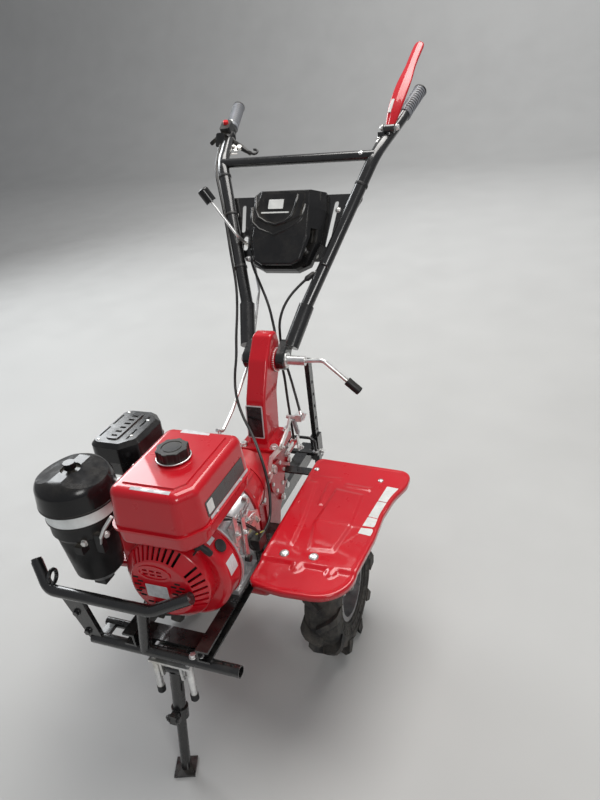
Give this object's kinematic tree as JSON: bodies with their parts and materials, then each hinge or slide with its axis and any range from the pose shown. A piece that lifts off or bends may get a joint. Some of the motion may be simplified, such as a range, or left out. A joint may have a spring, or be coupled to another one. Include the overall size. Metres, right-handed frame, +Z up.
{
  "type": "two-wheeled power weeder",
  "caption": "Walk-behind petrol power weeder on lugged tyres: engine ahead of a gearbox, fenders, front guard with stand, and a tilting handlebar.",
  "frame": {"origin": "on the floor, under the middle of the machine's overall box", "axes": "+X to the machine's left, +Y to the rear where the driver walks, +Z up; the engine and the bumper are towards -Y"},
  "size_m": [0.7448, 1.3516, 1.3556],
  "materials": {
    "red_paint": "glossy bright red paint on sheet metal and castings",
    "black_paint": "satin black paint on tube and plate",
    "black_plastic": "matt black moulded plastic",
    "white_plastic": "milky white ring",
    "grey_plastic": "grey moulded grip",
    "red_plastic": "glossy red plastic",
    "cast_alloy": "as-cast aluminium",
    "zinc_steel": "bright zinc plated steel",
    "tyre_rubber": "dusty black tyre rubber",
    "cable_sheath": "black cable sheath",
    "grey_steel": "dull grey steel"
  },
  "bodies": {
    "machine": {"air_cleaner_bowl": "black_plastic", "air_cleaner_lid": "black_plastic", "air_cleaner_ring": "white_plastic", "bell_housing": "red_paint", "bumper": "black_paint", "carburettor": "cast_alloy", "clutch_arm": "zinc_steel", "clutch_cable": "cable_sheath", "column": "red_paint", "cylinder": "cast_alloy", "depth_bar": "black_paint", "engine_block": "cast_alloy", "engine_controls": "zinc_steel", "engine_rails": "black_paint", "fan_shroud": "red_paint", "fender_bracket_left": "black_paint", "fender_bracket_right": "black_paint", "fender_left": "red_paint", "fender_right": "red_paint", "fuel_tank": "red_paint", "gearbox": "red_paint", "hitch": "black_paint", "hitch_pin": "zinc_steel", "muffler": "black_paint", "muffler_shield": "black_paint", "recoil_cover": "red_plastic", "reverse_cable": "cable_sheath", "rocker_cover": "black_paint", "shift_link": "zinc_steel", "stand_bracket": "zinc_steel", "tank_cap": "black_plastic", "throttle_cable": "cable_sheath"},
    "wheel_left": {"tyre_left": "tyre_rubber", "rim_left": "grey_steel", "axle_left": "zinc_steel"},
    "wheel_right": {"tyre_right": "tyre_rubber", "rim_right": "grey_steel", "axle_right": "zinc_steel"},
    "stand": {"stand_leg": "black_paint"},
    "handlebar": {"handlebar_arm_left": "black_paint", "handlebar_arm_right": "black_paint", "crossbar": "black_paint", "grip_left": "grey_plastic", "grip_right": "grey_plastic", "console_plate": "black_paint", "console_cover": "black_plastic", "clutch_lever": "red_plastic", "throttle_control": "black_plastic", "shift_lever": "zinc_steel", "clamp_lever": "zinc_steel", "shift_knob": "black_plastic", "clamp_knob": "black_plastic", "throttle_cable_upper": "cable_sheath", "clutch_cable_upper": "cable_sheath", "reverse_cable_upper": "cable_sheath"}
  },
  "joints": [
    {"name": "wheel_left_spin", "type": "hinge", "parent": "machine", "child": "wheel_left", "pos_m": [0.225, -0.19615, 0.17], "axis": [1, 0, 0], "continuous": true},
    {"name": "wheel_right_spin", "type": "hinge", "parent": "machine", "child": "wheel_right", "pos_m": [-0.225, -0.19615, 0.17], "axis": [1, 0, 0], "continuous": true},
    {"name": "stand_swing", "type": "hinge", "parent": "machine", "child": "stand", "pos_m": [0, -0.59615, 0.258], "axis": [1, 0, 0], "range_deg": [0, 85]},
    {"name": "handlebar_tilt", "type": "hinge", "parent": "machine", "child": "handlebar", "pos_m": [0, 0.02985, 0.674], "axis": [1, 0, 0], "range_deg": [-20, 15]}
  ]
}
